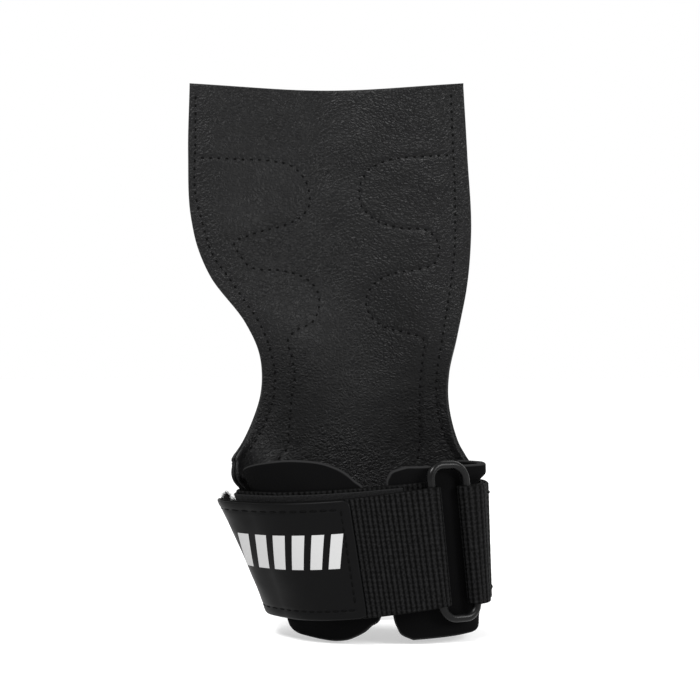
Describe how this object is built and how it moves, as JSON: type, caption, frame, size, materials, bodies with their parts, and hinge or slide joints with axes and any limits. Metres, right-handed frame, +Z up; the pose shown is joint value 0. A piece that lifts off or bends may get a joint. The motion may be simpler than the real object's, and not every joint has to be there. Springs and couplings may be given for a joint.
{
  "type": "hand grip",
  "caption": "Leather palm grip with a stitched pad standing on a padded wrist cuff, closed by a webbing strap, a wire loop and a hook-and-loop end patch.",
  "frame": {"origin": "centre of the bounding box at floor height, under the standing grip", "axes": "+Z up from the wrist cuff to the pad's free end, +Y from the palm side to the bar side, +X to the right seen from the palm side"},
  "size_m": [0.1288, 0.0776, 0.2295],
  "materials": {
    "leather": "black grained leather, low sheen",
    "patch_leather": "smooth black coated leather",
    "neoprene": "soft matte neoprene with a knit skin",
    "foam": "thin foam, hidden",
    "webbing": "ribbed black woven webbing",
    "loop_pile": "soft looped pile",
    "hook_tape": "hook tape",
    "thread": "black sewing thread",
    "painted_steel": "black coated wire, satin"
  },
  "bodies": {
    "cuff": {"root_face": "leather", "root_back": "leather", "wing_left": "neoprene", "wing_right": "neoprene", "strap_band": "webbing", "loop_pile_strip": "loop_pile", "anchor_loop": "webbing", "anchor_seam": "thread", "wing_seam_left": "thread", "wing_seam_right": "thread", "ear_seam_left": "thread", "ear_seam_right": "thread"},
    "palm": {"palm_face": "leather", "palm_core": "foam", "palm_back": "leather", "palm_overlay": "leather", "edge_seam_left": "thread", "edge_seam_right": "thread", "overlay_seam_left": "thread", "overlay_seam_right": "thread"},
    "buckle": {"steel_loop": "painted_steel"},
    "tail": {"strap_tail": "webbing", "hook_panel": "hook_tape", "end_patch": "patch_leather", "patch_seam": "thread"}
  },
  "joints": [
    {"name": "palm_bend", "type": "hinge", "parent": "cuff", "child": "palm", "pos_m": [0.00476, 0.03064, 0.07999], "axis": [-1, 0, 0], "range_deg": [-25, 60], "stiffness_Nm_per_rad": 0.8},
    {"name": "buckle_pivot", "type": "hinge", "parent": "cuff", "child": "buckle", "pos_m": [0.05349, -0.02316, 0.04049], "axis": [-0.0946, 0, 0.9955], "range_deg": [0, 25]},
    {"name": "tail_peel", "type": "hinge", "parent": "buckle", "child": "tail", "pos_m": [0.03919, -0.03093, 0.04049], "axis": [-0.0946, 0, 0.9955], "range_deg": [0, 110]}
  ]
}
